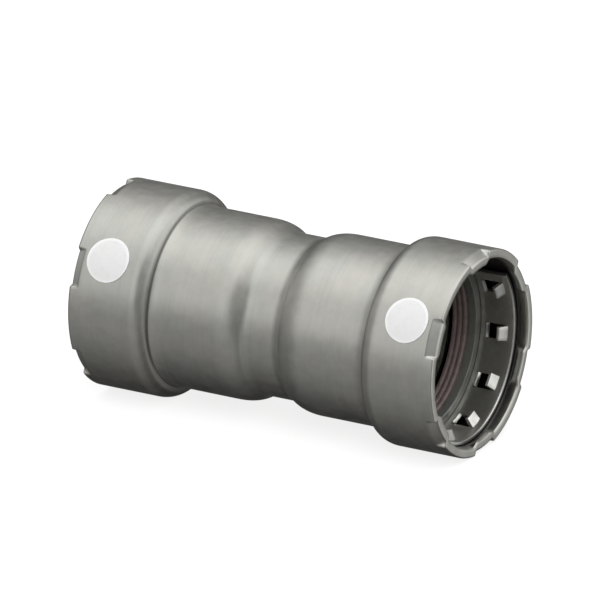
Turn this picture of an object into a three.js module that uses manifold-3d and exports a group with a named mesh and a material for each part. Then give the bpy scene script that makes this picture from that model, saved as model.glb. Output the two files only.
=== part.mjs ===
// Straight press coupling for 1 1/4 inch (42.4 mm) steel pipe.
//
// X runs along the pipe axis, Z is up, and the origin is on the axis halfway between the two ends. The
// coupling lies on its two collars. All lengths are millimetres and all angles are degrees. An angle around
// the axis is counted from +Y towards +Z.

import Module from "manifold-3d";
import * as THREE from "three";
import { mergeVertices } from "three/addons/utils/BufferGeometryUtils.js";

const wasm = await Module();
wasm.setup();

// Driving dimensions.
const PIPE_RADIUS = 21.2;
const SOCKET_CLEARANCE = 0.5;
const WALL = 2.7;
const COLLAR_RADIUS = 28;
const HALF_LENGTH = 54.7;
const NECK_RADIUS = 21.95;
const PIPE_STOP = 8.5;
const COLLAR_START = 32.2;

// Sizes that follow from them.
const SOCKET_RADIUS = PIPE_RADIUS + SOCKET_CLEARANCE;
const TUBE_RADIUS = SOCKET_RADIUS + WALL;
const CHAMBER_RADIUS = COLLAR_RADIUS - WALL;
const STOP_RADIUS = NECK_RADIUS - WALL;
const CHAMBER_START = COLLAR_START + 1.2;

// The rim of each collar is pressed inwards at six places, which keeps the grip ring in.
const CRIMP_COUNT = 6;
const CRIMP_PHASE = 33.4;
const CRIMP_WIDTH = 22.3;
const CRIMP_STEP = 1.6;
const CRIMP_LENGTH = 2.8;
const CRIMP_DEPTH = 1.4;

// The loose parts of one socket lie in the chamber, from the inside to the mouth.
const SEAL = { start: CHAMBER_START + 0.3, end: 38.6, bore: 21.4, outside: 25.0 };
const SEPARATOR = { start: 38.8, end: 41.2, bore: 21.6, outside: 25.0 };
const GRIP = { start: 41.4, end: 51.4, bore: 24.1, outside: 24.9, lip: 25.05 };

// The grip ring has a row of windows, each with a bent tooth at its mouth side and a small lip opposite. The
// ring is open: the gap between its two ends takes the place of one more window.
const WINDOW_COUNT = 10;
const WINDOW_PITCH = 360 / (WINDOW_COUNT + 1);
const WINDOW_START = 43.6;
const WINDOW_END = 49.1;
const WINDOW_WIDTH = 4.4;
const TOOTH = { rootX: 49.3, rootR: 24.5, tipX: 47.7, tipR: 21.8, thickness: 0.7, width: 4.2 };
const LIP = { rootX: 42.8, rootR: 24.5, tipX: 43.9, tipR: 23.7, thickness: 0.5, width: 4 };
const GAP_ANGLE = 57.5;
const GAP_WIDTH = 16.4;

// A round dot is stuck on the outside of each collar.
const DOT_RADIUS = 6.15;
const DOT_THICKNESS = 0.25;
const DOT_GAP = 0.05;
const DOT_POSITION = 44.87;
const DOT_ANGLE = 146.4;

const LOOKS = {
  coated_steel: { color: 0xa3a49e, roughness: 0.42, metalness: 1 },
  ring_steel: { color: 0x6f716b, roughness: 0.4, metalness: 1 },
  grip_steel: { color: 0x8c8d8a, roughness: 0.32, metalness: 1 },
  seal_rubber: { color: 0x463737, roughness: 0.6, metalness: 0 },
  dot_film: { color: 0xe9e8e8, roughness: 0.5, metalness: 0 },
};

// Steps of the round stretches.
const CURVE_STEPS = 3;
const RING_SEGMENTS = 54;
const BAND_SEGMENTS = (WINDOW_COUNT + 1) * 6;
const DOT_SEGMENTS = 24;

// A lathe turns its profile around Y. This puts the turned shape around X, with angle 0 at +Y.
const LATHE_TO_PART = new THREE.Matrix4().makeBasis(
  new THREE.Vector3(0, 0, 1),
  new THREE.Vector3(1, 0, 0),
  new THREE.Vector3(0, 1, 0),
);

// From first to last in equal steps, with both ends.
function spread(first, last, steps) {
  return Array.from({ length: steps + 1 }, (_, i) => first + ((last - first) * i) / steps);
}

// A closed outline of [radius, x] corners, as a lathe wants it.
function ringProfile(corners) {
  return [...corners, corners[0]].map(([radius, x]) => new THREE.Vector2(radius, x));
}

// Keeps only positions, and makes neighbouring faces share their vertices.
function weld(geometry) {
  const plain = geometry.clone();
  plain.deleteAttribute("normal");
  plain.deleteAttribute("uv");
  return mergeVertices(plain, 1e-4);
}

function turned(corners, segments) {
  const geometry = new THREE.LatheGeometry(ringProfile(corners), segments);
  return weld(geometry.applyMatrix4(LATHE_TO_PART));
}

function toSolid(geometry) {
  const welded = weld(geometry);
  const mesh = new wasm.Mesh({
    numProp: 3,
    vertProperties: new Float32Array(welded.attributes.position.array),
    triVerts: new Uint32Array(welded.index.array),
  });
  return new wasm.Manifold(mesh);
}

function toGeometry(solid) {
  const mesh = solid.getMesh();
  const geometry = new THREE.BufferGeometry();
  geometry.setAttribute("position", new THREE.BufferAttribute(mesh.vertProperties, 3));
  geometry.setIndex(new THREE.BufferAttribute(mesh.triVerts, 1));
  return geometry;
}

// The same shape at the other end: x changes sign, and each triangle is turned over to face outwards.
function mirrored(geometry) {
  const copy = geometry.clone().applyMatrix4(new THREE.Matrix4().makeScale(-1, 1, 1));
  const index = Array.from(copy.index.array);
  for (let i = 0; i < index.length; i += 3) {
    [index[i], index[i + 1]] = [index[i + 1], index[i]];
  }
  copy.setIndex(index);
  return copy;
}

// The body's outside from the middle of the neck to the rim, then its inside back to the middle. Each bend
// is a curve, and its bend value is where the straight stretches beside it would meet.
function bodyHalfProfile() {
  const neckEnd = 3.2;
  const neckBend = 5;
  const neckCreaseX = 6.1;
  const neckCreaseR = NECK_RADIUS + 0.75;
  const tubeBend = 8.4;
  const tubeStart = 12.8;
  const flareStart = COLLAR_START - 3.2;
  const flareBend = COLLAR_START - 1.2;
  const shoulderFoot = TUBE_RADIUS + 0.4;
  const shoulderBend = COLLAR_START + 0.8;
  const shoulderEnd = COLLAR_START + 4.3;
  const rimEdge = 0.6;
  const rimChamfer = 0.5;
  const crimpStart = HALF_LENGTH - CRIMP_LENGTH;
  const chamberCorner = 2.6;

  const path = new THREE.Path();
  path.moveTo(NECK_RADIUS, 0);
  path.lineTo(NECK_RADIUS, neckEnd);
  path.quadraticCurveTo(NECK_RADIUS, neckBend, neckCreaseR, neckCreaseX);
  path.quadraticCurveTo(TUBE_RADIUS, tubeBend, TUBE_RADIUS, tubeStart);
  path.lineTo(TUBE_RADIUS, flareStart);
  path.quadraticCurveTo(TUBE_RADIUS, flareBend, shoulderFoot, COLLAR_START);
  path.quadraticCurveTo(COLLAR_RADIUS, shoulderBend, COLLAR_RADIUS, shoulderEnd);
  path.lineTo(COLLAR_RADIUS, crimpStart);
  path.lineTo(COLLAR_RADIUS, HALF_LENGTH - rimEdge);
  path.lineTo(COLLAR_RADIUS - rimEdge, HALF_LENGTH);
  path.lineTo(CHAMBER_RADIUS + rimChamfer, HALF_LENGTH);
  path.lineTo(CHAMBER_RADIUS, HALF_LENGTH - rimChamfer);
  path.lineTo(CHAMBER_RADIUS, crimpStart);
  path.lineTo(CHAMBER_RADIUS, CHAMBER_START + chamberCorner);
  path.quadraticCurveTo(CHAMBER_RADIUS, CHAMBER_START, CHAMBER_RADIUS - chamberCorner, CHAMBER_START);
  path.lineTo(SOCKET_RADIUS, CHAMBER_START);
  path.lineTo(SOCKET_RADIUS, PIPE_STOP);
  path.lineTo(STOP_RADIUS, PIPE_STOP);
  return path.getPoints(CURVE_STEPS).map((p) => [p.x, p.y]);
}

function bodyGeometry() {
  const half = bodyHalfProfile();
  const otherHalf = half.slice(1).reverse().map(([radius, x]) => [radius, -x]);
  const corners = [...half, ...otherHalf];

  // One sixth of the way round: the first columns lie in a crimp, and the others in the plain rim beyond it.
  const halfCrimp = CRIMP_WIDTH / 2;
  const sector = 360 / CRIMP_COUNT;
  const inCrimp = spread(CRIMP_STEP - halfCrimp, halfCrimp - CRIMP_STEP, 3);
  const columns = [...inCrimp, ...spread(halfCrimp, sector - halfCrimp, 5)];
  const segments = CRIMP_COUNT * columns.length;

  // The lathe's columns are evenly spaced. Each is moved to its place, so that a crimp's sides are steep.
  const geometry = turned(corners, segments);
  const position = geometry.attributes.position;
  for (let i = 0; i < position.count; i += 1) {
    const x = position.getX(i);
    const angle = Math.atan2(position.getZ(i), position.getY(i));
    const column = (Math.round((angle / (2 * Math.PI)) * segments) + segments) % segments;
    const place = column % columns.length;
    const placeAngle = columns[place] + sector * Math.floor(column / columns.length) + CRIMP_PHASE;

    const intoCrimp = Math.abs(x) - (HALF_LENGTH - CRIMP_LENGTH);
    const crimped = place < inCrimp.length && intoCrimp > 0;
    const drop = crimped ? (CRIMP_DEPTH * intoCrimp) / CRIMP_LENGTH : 0;
    const radius = Math.hypot(position.getY(i), position.getZ(i)) - drop;

    const turn = THREE.MathUtils.degToRad(placeAngle);
    position.setXYZ(i, x, radius * Math.cos(turn), radius * Math.sin(turn));
  }
  return geometry;
}

// A rubber ring with a rounded back and three sealing ridges in its bore.
function sealGeometry() {
  const { start, end, bore, outside } = SEAL;
  const back = 1.6;
  const backFacet = 0.47;
  const edge = 0.4;
  const ridgeHeight = 0.7;
  const valley = bore + ridgeHeight;
  const lastRidge = start + 0.9;
  const ridges = spread(end - edge, lastRidge, 4).map((x, i) => [i % 2 ? valley : bore, x]);
  const corners = [
    [outside - back, start],
    [outside - backFacet, start + backFacet],
    [outside, start + back],
    [outside, end - edge],
    [outside - edge, end],
    [valley, end],
    ...ridges,
    [valley, start],
  ];
  return turned(corners, RING_SEGMENTS);
}

// A stiff washer between the seal and the grip ring.
function separatorGeometry() {
  const { start, end, bore, outside } = SEPARATOR;
  const edge = 0.3;
  const corners = [
    [outside, start],
    [outside, end],
    [bore + edge, end],
    [bore, end - edge],
    [bore, start + edge],
    [bore + edge, start],
  ];
  return turned(corners, RING_SEGMENTS);
}

// A flat plate from a root to a tip in the plane of x and radius, as wide as it says around the ring.
function bentTab({ rootX, rootR, tipX, tipR, thickness, width }) {
  const along = new THREE.Vector2(tipX - rootX, tipR - rootR).normalize();
  const sideX = (along.y * thickness) / 2;
  const sideR = (-along.x * thickness) / 2;
  const shape = new THREE.Shape([
    new THREE.Vector2(rootX + sideX, rootR + sideR),
    new THREE.Vector2(rootX - sideX, rootR - sideR),
    new THREE.Vector2(tipX - sideX, tipR - sideR),
    new THREE.Vector2(tipX + sideX, tipR + sideR),
  ]);
  const tab = new THREE.ExtrudeGeometry(shape, { depth: width, bevelEnabled: false });
  return tab.translate(0, 0, -width / 2);
}

// An open band with a flared mouth. Its teeth lean inwards, so a pipe slides in past them and can't slide out.
function gripGeometry() {
  const { start, end, bore, outside, lip } = GRIP;
  const flare = 0.9;
  const lipBevel = 0.25;
  const bandThickness = outside - bore;
  let ring = toSolid(
    turned(
      [
        [outside, start],
        [outside, end - 2 * flare],
        [lip, end - flare],
        [lip, end],
        [lip - bandThickness + lipBevel, end],
        [lip - bandThickness, end - lipBevel],
        [bore, end - 2 * flare],
        [bore, start],
      ],
      BAND_SEGMENTS,
    ),
  );

  const bandMiddle = (bore + outside) / 2;
  const cutDepth = 4 * bandThickness;
  const windowLength = WINDOW_END - WINDOW_START;
  const windowMiddle = (WINDOW_START + WINDOW_END) / 2;
  for (let i = 1; i <= WINDOW_COUNT; i += 1) {
    const turn = THREE.MathUtils.degToRad(GAP_ANGLE + i * WINDOW_PITCH);
    const window = new THREE.BoxGeometry(windowLength, cutDepth, WINDOW_WIDTH);
    window.translate(windowMiddle, bandMiddle, 0);
    ring = ring.subtract(toSolid(window.rotateX(turn)));
    ring = ring.add(toSolid(bentTab(TOOTH).rotateX(turn)));
    ring = ring.add(toSolid(bentTab(LIP).rotateX(turn)));
  }

  // The gap is cut straight, and deep enough to pass the band where it curves away from the gap's middle.
  const gap = new THREE.BoxGeometry(2 * (end - start), bandMiddle, GAP_WIDTH);
  gap.translate((start + end) / 2, bandMiddle, 0);
  ring = ring.subtract(toSolid(gap.rotateX(THREE.MathUtils.degToRad(GAP_ANGLE))));
  return toGeometry(ring);
}

// A thin disc bent around the collar: its width along the ring becomes an angle.
function dotGeometry() {
  const rings = spread(0, DOT_RADIUS, 3);
  const under = rings.map((r) => new THREE.Vector2(r, 0));
  const over = rings.map((r) => new THREE.Vector2(r, DOT_THICKNESS)).reverse();
  const disc = weld(new THREE.LatheGeometry([...under, ...over], DOT_SEGMENTS));
  const position = disc.attributes.position;
  for (let i = 0; i < position.count; i += 1) {
    const radius = COLLAR_RADIUS + DOT_GAP + position.getY(i);
    const turn = THREE.MathUtils.degToRad(DOT_ANGLE) + position.getZ(i) / COLLAR_RADIUS;
    const x = DOT_POSITION + position.getX(i);
    position.setXYZ(i, x, radius * Math.cos(turn), radius * Math.sin(turn));
  }
  return disc;
}

const coupling = new THREE.Group();

function addPiece(name, geometry, look) {
  geometry.computeVertexNormals();
  const piece = new THREE.Mesh(geometry, new THREE.MeshStandardMaterial(LOOKS[look]));
  piece.name = name;
  coupling.add(piece);
}

// A piece of the right-hand socket, and the same piece in the left-hand one.
function addPair(name, geometry, look) {
  addPiece(`right_${name}`, geometry, look);
  addPiece(`left_${name}`, mirrored(geometry), look);
}

addPiece("body", bodyGeometry(), "coated_steel");
addPair("seal", sealGeometry(), "seal_rubber");
addPair("separator_ring", separatorGeometry(), "ring_steel");
addPair("grip_ring", gripGeometry(), "grip_steel");
addPair("marker_dot", dotGeometry(), "dot_film");

export default coupling;
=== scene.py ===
"""The looks of a straight press coupling for steel pipe: a plated tube body with a collar at each end, and in
each collar a rubber seal, a separator ring and a toothed grip ring. X is the pipe axis and Z is up. Lengths
are metres. An angle around the axis is counted from +Y towards +Z."""

import math

import bpy
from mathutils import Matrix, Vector, noise


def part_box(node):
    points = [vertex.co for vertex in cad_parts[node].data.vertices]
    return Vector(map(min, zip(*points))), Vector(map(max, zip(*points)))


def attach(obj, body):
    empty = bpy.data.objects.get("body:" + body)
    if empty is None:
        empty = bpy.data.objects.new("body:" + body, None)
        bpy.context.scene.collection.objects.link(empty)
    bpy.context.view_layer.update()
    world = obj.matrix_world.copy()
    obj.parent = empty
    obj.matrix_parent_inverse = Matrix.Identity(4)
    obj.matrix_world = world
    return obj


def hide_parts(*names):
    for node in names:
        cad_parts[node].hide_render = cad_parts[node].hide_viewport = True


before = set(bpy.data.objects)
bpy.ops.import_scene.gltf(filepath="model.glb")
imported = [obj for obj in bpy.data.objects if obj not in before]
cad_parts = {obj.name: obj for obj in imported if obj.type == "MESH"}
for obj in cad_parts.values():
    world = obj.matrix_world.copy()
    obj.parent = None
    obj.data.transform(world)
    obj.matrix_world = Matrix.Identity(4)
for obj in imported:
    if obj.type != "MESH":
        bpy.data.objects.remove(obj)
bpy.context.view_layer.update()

MM = 0.001

# Sizes read from the frame.
body_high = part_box("body")[1]
seal_low, seal_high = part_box("right_seal")
separator_low, separator_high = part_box("right_separator_ring")
grip_low, grip_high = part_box("right_grip_ring")
dot_low, dot_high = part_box("right_marker_dot")

HALF_LENGTH = body_high.x
COLLAR_RADIUS = body_high.z

# Sizes of the body that no box gives.
WALL = 2.7 * MM
TUBE_RADIUS = COLLAR_RADIUS - 3.6 * MM
NECK_RADIUS = COLLAR_RADIUS - 6.05 * MM
SOCKET_RADIUS = TUBE_RADIUS - WALL
CHAMBER_RADIUS = COLLAR_RADIUS - WALL
COLLAR_START = HALF_LENGTH - 22.5 * MM
CHAMBER_START = COLLAR_START + 1.2 * MM
PIPE_STOP = 8.5 * MM

# The six pressed places in each rim.
CRIMP_COUNT = 6
CRIMP_PHASE = math.radians(33.4)
CRIMP_HALF_WIDTH = math.radians(11.15)
CRIMP_SIDE = math.radians(1.5)
CRIMP_LENGTH = 2.8 * MM
CRIMP_DEPTH = 1.4 * MM

# The grip ring's windows, and the gap between its two ends, which takes the place of one more window.
WINDOW_COUNT = 10
WINDOW_PITCH = 2 * math.pi / (WINDOW_COUNT + 1)
WINDOW_WIDTH = 4.4 * MM
GAP_ANGLE = math.radians(57.5)
GAP_WIDTH = 16.4 * MM


# Shapes


def smooth(value):
    """0 below 0, 1 above 1, and an S-shaped rise between."""
    t = min(max(value, 0.0), 1.0)
    return t * t * (3 - 2 * t)


def spread(first, last, steps):
    """From first to last in equal steps, with both ends."""
    return [first + (last - first) * i / steps for i in range(steps + 1)]


class Outline:
    """A cross-section as (radius, x) points, drawn the way a pen moves."""

    def __init__(self, radius, x):
        self.points = [(radius, x)]

    def line(self, radius, x, steps=1):
        r0, x0 = self.points[-1]
        for t in spread(0, 1, steps)[1:]:
            self.points.append((r0 + (radius - r0) * t, x0 + (x - x0) * t))
        return self

    def bend(self, middle, end, steps=8):
        """A curve that leaves towards the middle point and arrives from it."""
        start = self.points[-1]
        for t in spread(0, 1, steps)[1:]:
            weights = ((1 - t) ** 2, 2 * t * (1 - t), t * t)
            corners = zip(start, middle, end)
            self.points.append(tuple(sum(w * c for w, c in zip(weights, row)) for row in corners))
        return self


def around_axis(x, radius, angle):
    return (x, radius * math.cos(angle), radius * math.sin(angle))


SHARP_ANGLE = math.radians(32)


def new_piece(name, vertices, faces):
    mesh = bpy.data.meshes.new(name)
    mesh.from_pydata(vertices, [], faces)
    mesh.validate()
    mesh.shade_smooth()
    mesh.set_sharp_from_angle(angle=SHARP_ANGLE)
    piece = bpy.data.objects.new(name, mesh)
    bpy.context.scene.collection.objects.link(piece)
    return piece


def revolve(name, outline, angles, radius_at=None):
    """Turns a closed outline through the angles, all the way round. radius_at may move a point in or out."""
    rows, columns = len(outline), len(angles)
    vertices = []
    for angle in angles:
        for radius, x in outline:
            placed = radius_at(x, radius, angle) if radius_at else radius
            vertices.append(around_axis(x, placed, angle))
    faces = []
    for i in range(columns):
        here, there = i * rows, (i + 1) % columns * rows
        for j in range(rows):
            k = (j + 1) % rows
            faces.append((here + j, there + j, there + k, here + k))
    return new_piece(name, vertices, faces)


def mirror_copy(piece, name):
    """The same piece at the other end, with its faces turned over so that they still point out."""
    mesh = piece.data
    vertices = [(-v.co.x, v.co.y, v.co.z) for v in mesh.vertices]
    faces = [tuple(reversed(p.vertices)) for p in mesh.polygons]
    return new_piece(name, vertices, faces)


def full_circle(columns):
    return spread(0, 2 * math.pi, columns)[:-1]


# Body


def body_outline():
    """One half of the body from the middle of the neck, outside to the rim and inside back to the pipe stop,
    then its mirror image. Each bend value is the x of that curve's middle point."""
    neck_end, neck_bend = 3.2 * MM, 5.0 * MM
    neck_crease = (NECK_RADIUS + 0.75 * MM, 6.1 * MM)
    tube_bend, tube_start = 8.4 * MM, 12.8 * MM
    flare_start, flare_bend = COLLAR_START - 3.2 * MM, COLLAR_START - 1.2 * MM
    shoulder_foot = TUBE_RADIUS + 0.4 * MM
    shoulder_bend, shoulder_end = COLLAR_START + 0.8 * MM, COLLAR_START + 4.3 * MM
    crimp_start = HALF_LENGTH - CRIMP_LENGTH
    edge, chamfer = 0.6 * MM, 0.9 * MM
    corner = 2.6 * MM
    stop_radius = SOCKET_RADIUS - WALL + 0.25 * MM

    half = Outline(NECK_RADIUS, 0)
    half.line(NECK_RADIUS, neck_end, 6)
    half.bend((NECK_RADIUS, neck_bend), neck_crease, 14)
    half.bend((TUBE_RADIUS, tube_bend), (TUBE_RADIUS, tube_start), 16)
    half.line(TUBE_RADIUS, flare_start, 24)
    half.bend((TUBE_RADIUS, flare_bend), (shoulder_foot, COLLAR_START), 10)
    half.bend((COLLAR_RADIUS, shoulder_bend), (COLLAR_RADIUS, shoulder_end), 22)
    half.line(COLLAR_RADIUS, crimp_start, 22)
    half.line(COLLAR_RADIUS, HALF_LENGTH - edge, 12)
    half.bend((COLLAR_RADIUS, HALF_LENGTH), (COLLAR_RADIUS - edge, HALF_LENGTH), 6)
    half.line(CHAMBER_RADIUS + chamfer, HALF_LENGTH, 4)
    half.bend((CHAMBER_RADIUS, HALF_LENGTH), (CHAMBER_RADIUS, HALF_LENGTH - chamfer), 3)
    half.line(CHAMBER_RADIUS, crimp_start, 10)
    half.line(CHAMBER_RADIUS, CHAMBER_START + corner, 6)
    half.bend((CHAMBER_RADIUS, CHAMBER_START), (CHAMBER_RADIUS - corner, CHAMBER_START), 8)
    half.line(SOCKET_RADIUS, CHAMBER_START)
    half.line(SOCKET_RADIUS, PIPE_STOP, 10)
    half.line(stop_radius, PIPE_STOP)
    other_half = [(radius, -x) for radius, x in reversed(half.points[1:])]
    return half.points + other_half


def body_angles():
    """One sixth of the way round has close columns at a crimp's sides and wider ones between them."""
    sector = 2 * math.pi / CRIMP_COUNT
    inner, outer = CRIMP_HALF_WIDTH - CRIMP_SIDE, CRIMP_HALF_WIDTH
    columns = spread(-outer, -inner, 5)[:-1]
    columns += spread(-inner, inner, 24)[:-1]
    columns += spread(inner, outer, 5)[:-1]
    columns += spread(outer, sector - outer, 36)[:-1]
    return [CRIMP_PHASE + sector * i + a for i in range(CRIMP_COUNT) for a in columns]


def crimp_drop(x, radius, angle):
    """How far the rim is pressed inwards at this place. The sides are steep outside and gentle inside."""
    along = abs(x) - (HALF_LENGTH - CRIMP_LENGTH)
    if along <= 0:
        return 0.0
    sector = 2 * math.pi / CRIMP_COUNT
    offset = (angle - CRIMP_PHASE + sector / 2) % sector - sector / 2
    depth_in_wall = smooth((COLLAR_RADIUS - radius) / WALL)
    side = CRIMP_SIDE * (1 + 2.5 * depth_in_wall)
    across = smooth((CRIMP_HALF_WIDTH + side / 2 - CRIMP_SIDE / 2 - abs(offset)) / side)
    step = smooth(along / (0.5 * MM))
    return across * CRIMP_DEPTH * step * along / CRIMP_LENGTH


def body_radius(x, radius, angle):
    """The crimps, and the faint waves that forming leaves in the tube."""
    place = Vector(around_axis(x, radius, angle))
    depth, broad_scale, fine_scale, fine_share = 0.02 * MM, 70, 260, 0.25
    waves = noise.noise(place * broad_scale) + fine_share * noise.noise(place * fine_scale)
    inwards = 1 + fine_share
    return radius - crimp_drop(x, radius, angle) + depth * (waves - inwards)


def make_body():
    return revolve("body_shell", body_outline(), body_angles(), body_radius)


# Rings in the chamber


def make_seal():
    """A rubber ring with a rounded back and three sealing ridges in its bore."""
    start, end, outside = seal_low.x, seal_high.x, seal_high.z
    bore = SOCKET_RADIUS - 0.3 * MM
    valley, fullness = bore + 0.7 * MM, 0.02 * MM
    back, edge, small_edge = 1.6 * MM, 0.4 * MM, 0.15 * MM

    ring = Outline(outside - back, start)
    ring.bend((outside, start), (outside, start + back), 10)
    ring.line(outside, end - edge, 3)
    ring.bend((outside, end), (outside - edge, end), 4)
    ring.line(valley + edge, end, 4)
    ring.bend((valley, end), (valley, end - small_edge), 3)
    ridge_count = 3
    pitch = (end - start - 2 * small_edge) / ridge_count
    for i in range(ridge_count):
        top = end - small_edge - pitch * (i + 0.5)
        ring.bend((bore - fullness, top + pitch * 0.35), (bore, top), 7)
        ring.bend((bore - fullness, top - pitch * 0.35), (valley, top - pitch * 0.5), 7)
    ring.line(valley, start + 0.05 * MM)
    ring.line(valley + edge, start)
    return revolve("right_seal_ring", ring.points, full_circle(180))


def make_separator():
    """A stiff washer with rounded edges, and a shallow turned groove in its face."""
    start, end, outside = separator_low.x, separator_high.x, separator_high.z
    bore = SOCKET_RADIUS - 0.1 * MM
    edge = 0.22 * MM
    groove = 0.04 * MM
    middle = bore + 1.3 * MM

    ring = Outline(outside, start + edge)
    ring.line(outside, end - edge, 3)
    ring.bend((outside, end), (outside - edge, end), 4)
    ring.line(middle + 3 * groove, end, 3)
    ring.bend((middle, end - groove), (middle - 3 * groove, end), 6)
    ring.line(bore + edge, end, 3)
    ring.bend((bore, end), (bore, end - edge), 4)
    ring.line(bore, start + edge, 4)
    ring.bend((bore, start), (bore + edge, start), 4)
    ring.line(outside - edge, start, 3)
    ring.bend((outside, start), (outside, start + edge), 4)
    return revolve("right_separator", ring.points[:-1], full_circle(180))


def grip_columns():
    """Angles from a window's middle: of the columns across the window, and of those up to the next window."""
    radius = grip_high.z
    half_window = WINDOW_WIDTH / 2 / radius
    slit = 0.12 * MM / radius
    inside = [-half_window] + spread(slit - half_window, half_window - slit, 4) + [half_window]
    between = spread(half_window, WINDOW_PITCH - half_window, 8)[1:-1]
    return inside, between


class Sheet:
    """Faces that share their vertices. A corner is (x, radius, angle)."""

    def __init__(self):
        self.vertices = []
        self.faces = []
        self.known = {}

    def vertex(self, x, radius, angle):
        key = (round(x, 7), round(radius, 7), round(angle, 6))
        if key not in self.known:
            self.known[key] = len(self.vertices)
            self.vertices.append(around_axis(x, radius, angle))
        return self.known[key]

    def face(self, corners):
        self.faces.append([self.vertex(*corner) for corner in corners])


def tooth_outline(radius, x):
    """The tooth starts at the window's mouth side and leans in to a square tip."""
    tooth = Outline(radius, x)
    tooth.bend((radius - 0.35 * MM, x - 0.12 * MM), (radius - 0.75 * MM, x - 0.4 * MM), 4)
    return tooth.line(radius - 2.75 * MM, x - 1.45 * MM, 4).points


def lip_outline(radius, x):
    """The short lip opposite the tooth, from its tip to its root."""
    lip = Outline(radius, x)
    lip.bend((radius - 0.1 * MM, x + 0.25 * MM), (radius - 0.35 * MM, x + 0.5 * MM), 3)
    return lip.line(radius - 0.75 * MM, x + 1.1 * MM, 2).points[::-1]


def make_grip_ring():
    """Spring steel sheet: an open band with a flared mouth and a row of windows, each with a tooth."""
    start, end = grip_low.x, grip_high.x
    thickness = 0.95 * MM
    outer = grip_high.z - 0.1 * MM
    middle = outer - thickness / 2
    window_start, window_end = start + 1.2 * MM, end - 2.3 * MM
    flare_start, flare = end - 1.8 * MM, 0.1 * MM

    # Rows lie along the axis, and columns around it.
    window_steps = 6
    row_places = [start] + spread(window_start, window_end, window_steps) + spread(flare_start, end, 6)
    rows = list(zip(row_places, row_places[1:]))
    solid_rows = rows[:1] + rows[window_steps + 1:]
    inside, between = grip_columns()

    sheet = Sheet()

    def band_radius(x):
        return middle + flare * smooth((x - flare_start) / (end - flare_start))

    def add_band(columns, row_pairs):
        for first, second in zip(columns, columns[1:]):
            for low, high in row_pairs:
                corners = [(low, first), (high, first), (high, second), (low, second)]
                sheet.face([(x, band_radius(x), angle) for x, angle in corners])

    def add_flap(columns, outline):
        for (r0, x0), (r1, x1) in zip(outline, outline[1:]):
            for first, second in zip(columns, columns[1:]):
                sheet.face([(x1, r1, first), (x0, r0, first), (x0, r0, second), (x1, r1, second)])

    for i in range(1, WINDOW_COUNT + 1):
        centre = GAP_ANGLE + WINDOW_PITCH * i
        window = [centre + a for a in inside]
        add_band(window, solid_rows)
        add_flap(window[1:-1], tooth_outline(middle, window_end))
        add_flap(window[1:-1], lip_outline(middle, window_start))
        if i < WINDOW_COUNT:
            next_window = centre + WINDOW_PITCH + inside[0]
            add_band([window[-1]] + [centre + a for a in between] + [next_window], rows)

    # The two ends of the band stop at the gap.
    half_gap = math.asin(GAP_WIDTH / 2 / middle)
    first_window = GAP_ANGLE + WINDOW_PITCH + inside[0]
    last_window = GAP_ANGLE + WINDOW_PITCH * WINDOW_COUNT + inside[-1]
    add_band(spread(GAP_ANGLE + half_gap, first_window, 4), rows)
    add_band(spread(last_window, GAP_ANGLE + 2 * math.pi - half_gap, 4), rows)

    ring = new_piece("right_grip", sheet.vertices, sheet.faces)
    thick = ring.modifiers.new("thickness", "SOLIDIFY")
    thick.thickness = thickness
    thick.offset = 0
    thick.use_even_offset = True
    apply_modifiers(ring)

    # The band's inside edge is bevelled at the mouth.
    bevel, mouth_row = 0.16 * MM, end - 0.05 * MM
    for vertex in ring.data.vertices:
        radius = math.hypot(vertex.co.y, vertex.co.z)
        if vertex.co.x > mouth_row and radius < middle:
            vertex.co.yz *= (radius + bevel) / radius

    rounded = ring.modifiers.new("edges", "BEVEL")
    rounded.width = 0.09 * MM
    rounded.segments = 2
    rounded.limit_method = "ANGLE"
    rounded.angle_limit = math.radians(40)
    apply_modifiers(ring)
    return ring


def apply_modifiers(piece):
    graph = bpy.context.evaluated_depsgraph_get()
    evaluated = bpy.data.meshes.new_from_object(piece.evaluated_get(graph))
    piece.modifiers.clear()
    piece.data = evaluated
    piece.data.shade_smooth()
    piece.data.set_sharp_from_angle(angle=SHARP_ANGLE)


# Marker dots


def make_dot():
    """A thin disc of film bent around the collar, with a soft raised edge."""
    centre_x = (dot_low.x + dot_high.x) / 2
    radius = (dot_high.x - dot_low.x) / 2
    centre_angle = math.atan2((dot_low.z + dot_high.z) / 2, (dot_low.y + dot_high.y) / 2)
    under, thickness, lip = 0.03 * MM, 0.2 * MM, 0.05 * MM
    segments = 96

    # Half a section as (distance out, height), from the middle of the underside over the edge and back.
    section = [(radius * t, under) for t in spread(0, 1, 14)]
    section += [(radius, under + thickness * 0.6)]
    section += [(radius - 0.12 * MM, under + thickness + lip)]
    section += [(radius - 0.5 * MM, under + thickness + lip * 0.6)]
    section += [(radius * t, under + thickness) for t in spread(0.88, 0, 12)]
    rings = section[1:-1]

    def bent(out, height, turn):
        across = out * math.sin(turn)
        angle = centre_angle + across / COLLAR_RADIUS
        return around_axis(centre_x + out * math.cos(turn), COLLAR_RADIUS + height, angle)

    # The first two vertices are the middles of the underside and of the top. The rings follow them.
    vertices = [bent(0, under, 0), bent(0, under + thickness, 0)]
    for out, height in rings:
        vertices += [bent(out, height, turn) for turn in full_circle(segments)]
    ring_starts = [2 + k * segments for k in range(len(rings))]
    faces = []
    for i in range(segments):
        j = (i + 1) % segments
        for low, high in zip(ring_starts, ring_starts[1:]):
            faces.append((low + i, low + j, high + j, high + i))
        faces.append((ring_starts[0] + j, ring_starts[0] + i, 0))
        faces.append((ring_starts[-1] + i, ring_starts[-1] + j, 1))
    return new_piece("right_dot", vertices, faces)


# Materials


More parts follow.
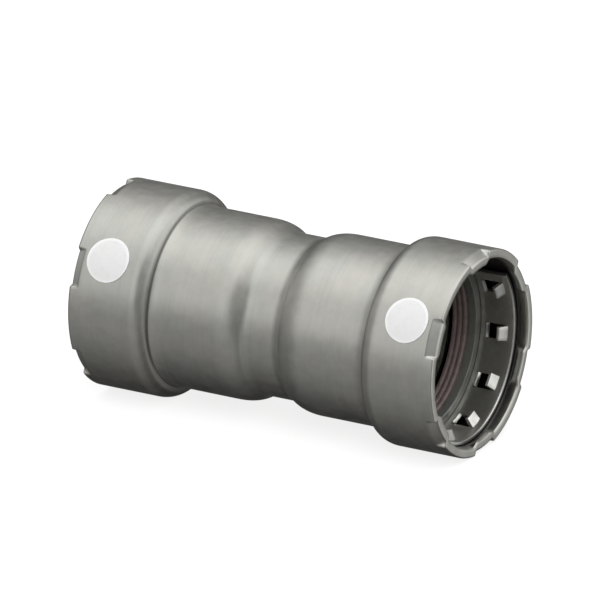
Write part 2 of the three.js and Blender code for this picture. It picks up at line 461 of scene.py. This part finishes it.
class Graph:
    """Short calls for building a node tree."""

    def __init__(self, tree):
        self.tree = tree
        tree.nodes.clear()

    def set(self, socket, value):
        if isinstance(value, bpy.types.NodeSocket):
            self.tree.links.new(value, socket)
        else:
            socket.default_value = value

    def node(self, kind, inputs=None, **settings):
        made = self.tree.nodes.new(kind)
        for key, value in settings.items():
            setattr(made, key, value)
        for key, value in (inputs or {}).items():
            self.set(made.inputs[key], value)
        return made

    def math(self, operation, a, b=0.0, c=0.0):
        return self.node("ShaderNodeMath", {0: a, 1: b, 2: c}, operation=operation).outputs[0]

    def noise(self, place, scale, detail=2.0, roughness=0.5):
        inputs = {"Vector": place, "Scale": scale, "Detail": detail, "Roughness": roughness}
        return self.node("ShaderNodeTexNoise", inputs).outputs[0]

    def stretched(self, place, factors):
        return self.node("ShaderNodeVectorMath", {0: place, 1: factors}, operation="MULTIPLY").outputs[0]

    def remap(self, value, low, high, new_low, new_high, kind="SMOOTHSTEP"):
        inputs = {0: value, 1: low, 2: high, 3: new_low, 4: new_high}
        return self.node("ShaderNodeMapRange", inputs, interpolation_type=kind).outputs[0]

    def ramp(self, value, low, high, stops):
        """A value that runs through the (position, brightness) stops."""
        share = self.remap(value, low, high, 0, 1, "LINEAR")
        made = self.node("ShaderNodeValToRGB", {0: share})
        elements = made.color_ramp.elements
        while len(elements) < len(stops):
            elements.new(0.5)
        for element, (position, brightness) in zip(elements, stops):
            element.position = (position - low) / (high - low)
            element.color = grey(brightness)
        return made.outputs[0]

    def even(self, value):
        """A grey as bright as the value."""
        return self.node("ShaderNodeCombineColor", {0: value, 1: value, 2: value}).outputs[0]

    def length(self, a, b):
        """How far (a, b) is from (0, 0)."""
        return self.math("SQRT", self.math("ADD", self.math("MULTIPLY", a, a), self.math("MULTIPLY", b, b)))

    def product(self, *values):
        total = values[0]
        for value in values[1:]:
            total = self.math("MULTIPLY", total, value)
        return total

    def mix(self, share, a, b, blend="MIX"):
        inputs = {0: share, 6: a, 7: b}
        made = self.node("ShaderNodeMix", inputs, data_type="RGBA", blend_type=blend)
        return made.outputs[2]

    def bump(self, height, distance, normal=None):
        inputs = {"Height": height, "Distance": distance, "Strength": 1.0}
        if normal:
            inputs["Normal"] = normal
        return self.node("ShaderNodeBump", inputs).outputs[0]


def new_material(name):
    material = bpy.data.materials.new(name)
    material.use_nodes = True
    graph = Graph(material.node_tree)
    place = graph.node("ShaderNodeTexCoord").outputs["Object"]
    return material, graph, place


def finish_material(graph, **inputs):
    named = {key.replace("_", " "): value for key, value in inputs.items()}
    shader = graph.node("ShaderNodeBsdfPrincipled", named)
    graph.node("ShaderNodeOutputMaterial", {"Surface": shader.outputs[0]})


def grey(value, tint=(1, 1, 1)):
    return (value * tint[0], value * tint[1], value * tint[2], 1)


def painted_shoulder_shade(g, colour, radius, end):
    """Painted shade: the crease at the foot of each shoulder, and the steep foot of the shoulder, are
    darkened in the colour where shade falls.
    """
    from_crease = g.math("ABSOLUTE", g.math("SUBTRACT", end, COLLAR_START))
    outside = g.remap(radius, TUBE_RADIUS - 0.2 * MM, TUBE_RADIUS - 0.1 * MM, 0, 1)
    crease = g.product(g.remap(from_crease, 0.1 * MM, 0.35 * MM, 0.6, 0), outside)
    foot = g.product(
        g.remap(end, COLLAR_START - 0.1 * MM, COLLAR_START, 0, 1),
        g.remap(end, COLLAR_START + 0.6 * MM, COLLAR_START + 1.8 * MM, 1, 0),
        outside,
    )
    # Painted shade: the crease is darkened to a near-black grey, and the steep foot a little.
    crease_shaded = g.mix(crease, colour, grey(0.12, (1, 1, 0.94)))
    return g.mix(g.product(foot, 0.25), crease_shaded, grey(0.1))


def burnished_crimps(g, colour, radius, end):
    """The crimping tool has burnished the pressed places."""
    crimp_start = HALF_LENGTH - CRIMP_LENGTH
    pressed = g.product(
        g.remap(radius, COLLAR_RADIUS - 0.3 * MM, COLLAR_RADIUS - 0.08 * MM, 1, 0),
        g.remap(radius, COLLAR_RADIUS - 2.2 * MM, COLLAR_RADIUS - 1.8 * MM, 0, 1),
        g.remap(end, crimp_start, crimp_start + 0.4 * MM, 0, 1),
        g.remap(end, HALF_LENGTH - 0.5 * MM, HALF_LENGTH - 0.1 * MM, 1, 0),
    )
    return g.mix(g.product(pressed, 0.45), colour, grey(0.9, (1, 1, 0.95)))


def painted_chamber_shade(g, colour, radius, end):
    """Painted shade: the chamber's wall is darkened in the colour, darkest deep inside behind the rings,
    where shade falls.
    """
    shade_share = g.product(
        g.remap(radius, CHAMBER_RADIUS + 0.1 * MM, CHAMBER_RADIUS + 0.5 * MM, 1, 0),
        g.remap(end, COLLAR_START + 0.4 * MM, COLLAR_START + 0.8 * MM, 0, 1),
        g.remap(end, HALF_LENGTH - 2.2 * MM, HALF_LENGTH - 0.8 * MM, 1, 0),
    )
    # Painted shade: the wall is darker the deeper it lies in the chamber.
    wall_shade = g.remap(end, HALF_LENGTH - 3.5 * MM, HALF_LENGTH - 1 * MM, 0.04, 0.45)
    return g.mix(shade_share, colour, g.even(wall_shade))


def plated_steel():
    """Zinc-nickel plating: satin, faintly mottled, with fine marks around the tube and paler worn edges."""
    material, g, place = new_material("plated_steel")
    rings = g.noise(g.stretched(place, (1, 0.02, 0.02)), 2000, 1, 0.5)
    broad_rings = g.noise(g.stretched(place, (1, 0.05, 0.05)), 700, 2, 0.5)
    mottle = g.noise(place, 330, 4, 0.6)
    blotch = g.noise(place, 75, 2, 0.5)
    grain = g.noise(place, 1600, 1, 0.5)

    cool, warm = grey(0.60, (0.99, 1, 0.93)), grey(0.62, (1.015, 0.995, 0.92))
    tone = g.mix(g.remap(blotch, 0.35, 0.65, 0, 1), cool, warm)
    mottle_shade = g.remap(mottle, 0.3, 0.7, 0.94, 1.03)
    shade = g.math("ADD", mottle_shade, g.remap(rings, 0.3, 0.7, -0.02, 0.02))
    colour = g.mix(1.0, tone, g.even(shade), "MULTIPLY")

    pointed = g.node("ShaderNodeNewGeometry").outputs["Pointiness"]
    worn = g.remap(pointed, 0.54, 0.62, 0, 0.25)
    colour = g.mix(worn, colour, grey(0.78))

    x, y, z = g.node("ShaderNodeSeparateXYZ", {0: place}).outputs
    radius = g.length(y, z)
    end = g.math("ABSOLUTE", x)
    # Painted shade in the shoulder creases and inside the chamber.
    colour = painted_shoulder_shade(g, colour, radius, end)
    colour = burnished_crimps(g, colour, radius, end)
    colour = painted_chamber_shade(g, colour, radius, end)

    mottle_rough = g.remap(mottle, 0.3, 0.7, 0.3, 0.35)
    rough = g.math("ADD", mottle_rough, g.remap(broad_rings, 0.3, 0.7, -0.01, 0.02))
    lines = g.bump(rings, 0.0022 * MM)
    waves = g.bump(broad_rings, 0.002 * MM, lines)
    normal = g.bump(grain, 0.0018 * MM, waves)
    tangent = g.node("ShaderNodeTangent", direction_type="RADIAL", axis="X").outputs[0]
    finish_material(
        g,
        Base_Color=colour,
        Metallic=1.0,
        Roughness=rough,
        Normal=normal,
        Anisotropic=0.35,
        Tangent=tangent,
    )
    return material


def ring_steel(name, tone, metallic, low_rough, high_rough):
    """Bare steel with marks around the ring and a few cloudy stains."""
    material, g, place = new_material(name)
    rings = g.noise(g.stretched(place, (1, 0.03, 0.03)), 3200, 2, 0.6)
    stains = g.noise(place, 260, 3, 0.5)
    dull_tone = grey(0.8 * tone[1], (1, 1.0, 0.93))
    colour = g.mix(g.remap(stains, 0.35, 0.7, 0, 0.7), tone, dull_tone)
    rough = g.remap(stains, 0.3, 0.7, low_rough, high_rough)
    normal = g.bump(rings, 0.002 * MM)
    finish_material(g, Base_Color=colour, Metallic=metallic, Roughness=rough, Normal=normal)
    return material


def seal_rubber():
    """Dark red fluoro-rubber with a light film of grease."""
    material, g, place = new_material("seal_rubber")
    clouds = g.noise(place, 500, 3, 0.6)
    grain = g.noise(place, 6000, 2, 0.6)
    colour = g.mix(g.remap(clouds, 0.3, 0.7, 0, 1), (0.18, 0.135, 0.13, 1), (0.25, 0.19, 0.185, 1))
    rough = g.remap(clouds, 0.3, 0.7, 0.29, 0.42)
    finish_material(g, Base_Color=colour, Roughness=rough, Normal=g.bump(grain, 0.004 * MM))
    return material


def dot_film():
    """White satin film, with a few faint handling marks."""
    material, g, place = new_material("dot_film")
    marks = g.noise(place, 700, 3, 0.6)
    fibre = g.noise(place, 3500, 2, 0.5)
    colour = g.mix(g.remap(marks, 0.45, 0.75, 0, 1), grey(0.85), grey(0.81, (1, 0.995, 0.98)))

    # Generated coordinates run from 0 to 1 across the disc. Its raised edge is a little whiter.
    generated = g.node("ShaderNodeTexCoord").outputs["Generated"]
    across, _, up = g.node("ShaderNodeSeparateXYZ", {0: generated}).outputs
    across, up = g.math("SUBTRACT", across, 0.5), g.math("SUBTRACT", up, 0.5)
    colour = g.mix(g.remap(g.length(across, up), 0.44, 0.47, 0, 1), colour, grey(0.96))
    rough = g.remap(marks, 0.3, 0.7, 0.42, 0.55)
    finish_material(g, Base_Color=colour, Roughness=rough, Normal=g.bump(fibre, 0.004 * MM))
    return material


# Pieces on their bodies


def place_piece(piece, body, node, material):
    piece.data.materials.clear()
    piece.data.materials.append(material)
    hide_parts(node)
    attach(piece, body)


def place_pair(piece, name, bodies, node, material):
    """A piece of the right-hand socket, and its mirror image in the left-hand one."""
    other = mirror_copy(piece, f"left_{name}")
    place_piece(piece, bodies[0], f"right_{node}", material)
    place_piece(other, bodies[1], f"left_{node}", material)


HOUSING = "housing"
GRIP_TONE = grey(0.8, (1, 1, 0.96))
SEPARATOR_TONE = grey(0.3, (0.98, 1, 0.93))

place_piece(make_body(), HOUSING, "body", plated_steel())
place_pair(make_seal(), "seal_ring", (HOUSING, HOUSING), "seal", seal_rubber())
place_pair(
    make_separator(),
    "separator",
    ("right_separator", "left_separator"),
    "separator_ring",
    ring_steel("separator_steel", SEPARATOR_TONE, 0.6, 0.38, 0.5),
)
place_pair(
    make_grip_ring(),
    "grip",
    ("right_grip", "left_grip"),
    "grip_ring",
    ring_steel("grip_steel", GRIP_TONE, 0.96, 0.29, 0.36),
)
place_pair(make_dot(), "dot", (HOUSING, HOUSING), "marker_dot", dot_film())


# Stage

VIEW_AZIMUTH = math.radians(29.2)
VIEW_ELEVATION = math.radians(21.05)
LENS = 820
VIEW_DISTANCE = 3.603
AIM_ABOVE = 4.5 * MM

flat = math.cos(VIEW_ELEVATION)
to_camera = Vector((math.sin(VIEW_AZIMUTH) * flat, -math.cos(VIEW_AZIMUTH) * flat, math.sin(VIEW_ELEVATION)))


def add_camera():
    data = bpy.data.cameras.new("camera")
    data.lens = LENS
    data.clip_end = 20
    camera = bpy.data.objects.new("camera", data)
    bpy.context.scene.collection.objects.link(camera)
    turn = to_camera.to_track_quat("Z", "Y")
    aim = turn @ Vector((0, AIM_ABOVE, 0))
    camera.location = aim + to_camera * VIEW_DISTANCE
    camera.rotation_mode = "QUATERNION"
    camera.rotation_quaternion = turn
    bpy.context.scene.camera = camera


def add_floor():
    """A pale floor that glows a little, so that it stays pale. Metal above it doesn't mirror it."""
    side = 6.0
    z = -COLLAR_RADIUS
    corners = [(-side, -side, z), (side, -side, z), (side, side, z), (-side, side, z)]
    floor = new_piece("floor", corners, [(0, 1, 2, 3)])
    material, g, place = new_material("floor")
    speckle = g.noise(place, 90, 3, 0.5)
    paint = g.mix(speckle, grey(0.34), grey(0.36))
    diffuse = g.node("ShaderNodeBsdfDiffuse", {"Color": paint})
    glow = g.node("ShaderNodeEmission", {"Color": grey(1), "Strength": 0.8})
    both = g.node("ShaderNodeAddShader", {0: diffuse.outputs[0], 1: glow.outputs[0]})
    g.node("ShaderNodeOutputMaterial", {"Surface": both.outputs[0]})
    floor.data.materials.append(material)
    floor.visible_glossy = False
    floor.visible_diffuse = False


def add_studio():
    """Soft light from all round. Its brightness goes by the angle about the pipe axis, where 0 is level in
    front and 90 is overhead, and is less towards the ends. The place where the camera stands is dim. A wide
    pale wall stands at the right-hand end, paler higher up and further back, and a faint one at the left."""
    around = [
        (-180, 0.10),
        (-125, 0.02),
        (-88, 0.075),
        (-45, 0.23),
        (-4, 0.30),
        (14, 0.70),
        (48, 0.61),
        (72, 0.92),
        (98, 1.00),
        (118, 0.63),
        (142, 0.27),
        (180, 0.10),
    ]
    along = [
        (-1, 0.28),
        (-0.75, 0.30),
        (-0.5, 0.92),
        (-0.4, 1.00),
        (0.3, 1.00),
        (0.5, 0.78),
        (0.7, 0.55),
        (1, 0.40),
    ]
    wall_stops = [(-1, 0.03), (-0.55, 0.09), (-0.25, 0.46), (0.25, 0.76), (0.5, 0.9)]
    world = bpy.data.worlds.new("studio")
    bpy.context.scene.world = world
    world.use_nodes = True
    g = Graph(world.node_tree)
    direction = g.node("ShaderNodeTexCoord").outputs["Generated"]
    x, y, z = g.node("ShaderNodeSeparateXYZ", {0: direction}).outputs
    angle = g.math("ARCTAN2", z, g.math("MULTIPLY", y, -1.0))
    ring = g.ramp(angle, -math.pi, math.pi, [(math.radians(a), value) for a, value in around])
    ends = g.ramp(x, -1, 1, along)

    def facing(axis):
        made = g.node("ShaderNodeVectorMath", {0: direction, 1: axis}, operation="DOT_PRODUCT")
        return made.outputs["Value"]

    in_front = Vector((0, to_camera.y, to_camera.z)).normalized()
    above = Vector((0, in_front.z, -in_front.y))
    camera_gap = g.remap(facing(to_camera), 0.78, 0.96, 1.0, 0.4)
    round_about = g.product(ring, ends, camera_gap)

    wall_height = g.ramp(facing(above), -1, 1, wall_stops)
    wall_near = g.remap(facing(in_front), -0.3, 0.5, 1, 0.15)
    right_wall = g.product(wall_height, wall_near, g.remap(x, 0.25, 0.75, 0, 1))
    left_wall = g.remap(x, -0.9, -0.55, 0.1, 0)
    light = g.math("ADD", g.math("ADD", round_about, right_wall), left_wall)
    seen = g.node("ShaderNodeLightPath").outputs["Is Camera Ray"]
    brightness = g.mix(seen, g.even(light), grey(1))
    background = g.node("ShaderNodeBackground", {"Color": brightness, "Strength": 1.25})
    g.node("ShaderNodeOutputWorld", {"Surface": background.outputs[0]})


def add_fill_light():
    """A wide lamp near the camera for the matt pieces. It leaves no highlight on the metal."""
    data = bpy.data.lights.new("fill", "AREA")
    data.shape = "DISK"
    data.size = 1.2
    data.energy = 11.5
    lamp = bpy.data.objects.new("fill", data)
    bpy.context.scene.collection.objects.link(lamp)
    towards = (to_camera + Vector((0, 0, 0.5))).normalized()
    lamp.location = towards * 1.6
    lamp.rotation_mode = "QUATERNION"
    lamp.rotation_quaternion = towards.to_track_quat("Z", "Y")
    lamp.visible_glossy = False
    lamp.visible_camera = False


add_floor()
add_studio()
add_fill_light()
add_camera()

scene = bpy.context.scene
scene.view_settings.view_transform = "Standard"
